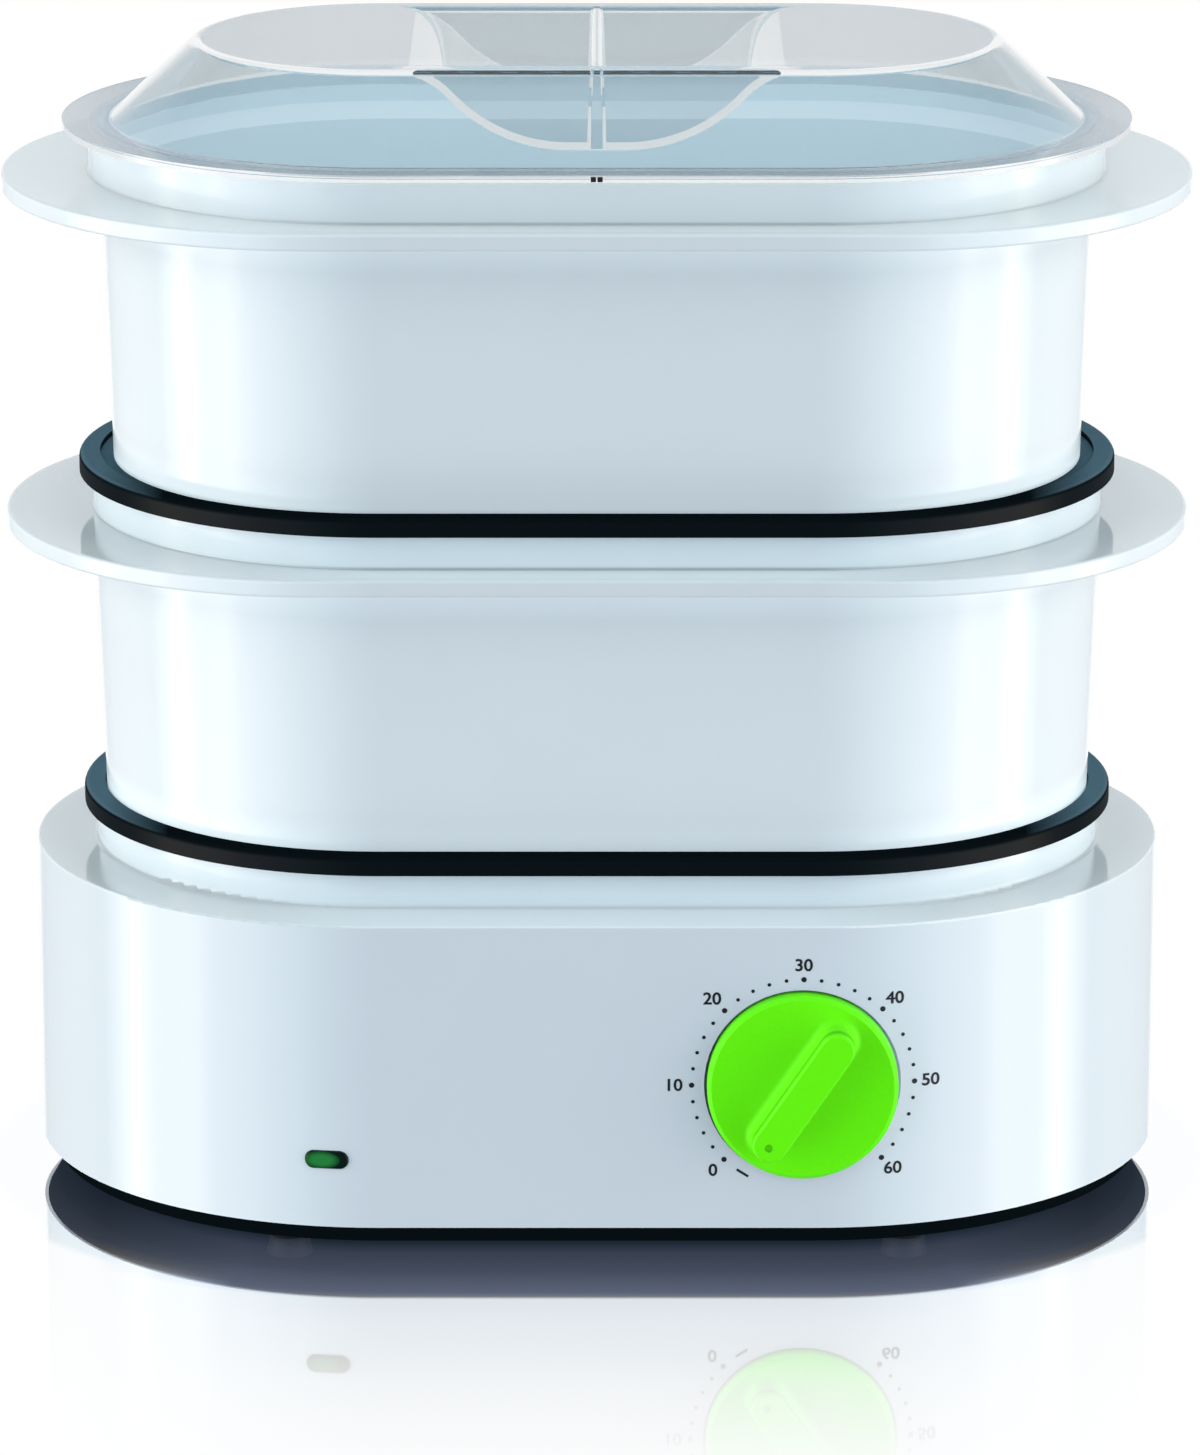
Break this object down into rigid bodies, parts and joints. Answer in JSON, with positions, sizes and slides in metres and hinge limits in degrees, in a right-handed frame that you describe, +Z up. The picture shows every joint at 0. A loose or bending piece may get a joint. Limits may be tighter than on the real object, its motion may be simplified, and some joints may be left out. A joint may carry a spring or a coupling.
{
  "type": "electric food steamer",
  "caption": "Free-standing electric food steamer: oval base with water tank, element and timer, stacked steaming baskets on perforated trays, and a clear lid with finger recesses.",
  "frame": {"origin": "on the plane that the feet rest on, under the middle of the base's oval plan", "axes": "+Z up, the front with the timer faces -Y, +X to the right seen from the front"},
  "size_m": [0.3404, 0.2314, 0.3339],
  "materials": {
    "white_plastic": "glossy white moulded plastic",
    "black_plastic": "fine-grained black moulded plastic",
    "knob_green": "glossy bright green plastic",
    "lens_green": "dark green tinted lens",
    "clear_plastic": "clear moulded plastic",
    "foot_rubber": "matte black rubber",
    "seal_rubber": "grey silicone rubber",
    "tank_plastic": "white plastic",
    "steel": "stainless steel",
    "zinc_steel": "zinc-plated steel",
    "inner_plastic": "plain inner plastic",
    "lamp_glass": "small neon lamp"
  },
  "bodies": {
    "base": {"base_housing": "white_plastic", "base_plate": "black_plastic", "foot_front_left": "foot_rubber", "foot_front_right": "foot_rubber", "foot_rear_left": "foot_rubber", "foot_rear_right": "foot_rubber", "base_screws": "zinc_steel", "water_tank": "tank_plastic", "tank_seal": "seal_rubber", "tank_screws": "zinc_steel", "heating_element": "steel", "heater_plate": "steel", "heater_seal": "seal_rubber", "heater_nuts": "zinc_steel", "thermostat": "inner_plastic", "thermal_fuse": "inner_plastic", "timer_body": "inner_plastic", "timer_screws": "zinc_steel", "pilot_lens": "lens_green", "pilot_holder": "inner_plastic", "pilot_lamp": "lamp_glass", "cord_gland": "black_plastic", "cord_clamp": "inner_plastic", "clamp_screws": "zinc_steel", "terminal_block": "inner_plastic"},
    "timer": {"timer_knob": "knob_green", "timer_shaft": "steel"},
    "drip_tray": {"drip_tray": "black_plastic"},
    "lower_tray": {"lower_tray": "black_plastic"},
    "lower_basket": {"lower_basket": "white_plastic"},
    "upper_tray": {"upper_tray": "black_plastic"},
    "upper_basket": {"upper_basket": "white_plastic"},
    "lid": {"lid": "clear_plastic"}
  },
  "joints": [
    {"name": "timer_turn", "type": "hinge", "parent": "base", "child": "timer", "pos_m": [0.058, -0.1012, 0.0532], "axis": [0, 1, 0], "range_deg": [0, 281]},
    {"name": "drip_tray_lift", "type": "slide", "parent": "base", "child": "drip_tray", "axis": [0, 0, 1], "range_m": [0, 0.05]},
    {"name": "lower_tray_lift", "type": "slide", "parent": "drip_tray", "child": "lower_tray", "axis": [0, 0, 1], "range_m": [0, 0.04]},
    {"name": "lower_basket_lift", "type": "slide", "parent": "lower_tray", "child": "lower_basket", "axis": [0, 0, 1], "range_m": [0, 0.04]},
    {"name": "upper_tray_lift", "type": "slide", "parent": "lower_basket", "child": "upper_tray", "axis": [0, 0, 1], "range_m": [0, 0.04]},
    {"name": "upper_basket_lift", "type": "slide", "parent": "upper_tray", "child": "upper_basket", "axis": [0, 0, 1], "range_m": [0, 0.04]},
    {"name": "lid_lift", "type": "slide", "parent": "upper_basket", "child": "lid", "axis": [0, 0, 1], "range_m": [0, 0.06]}
  ]
}
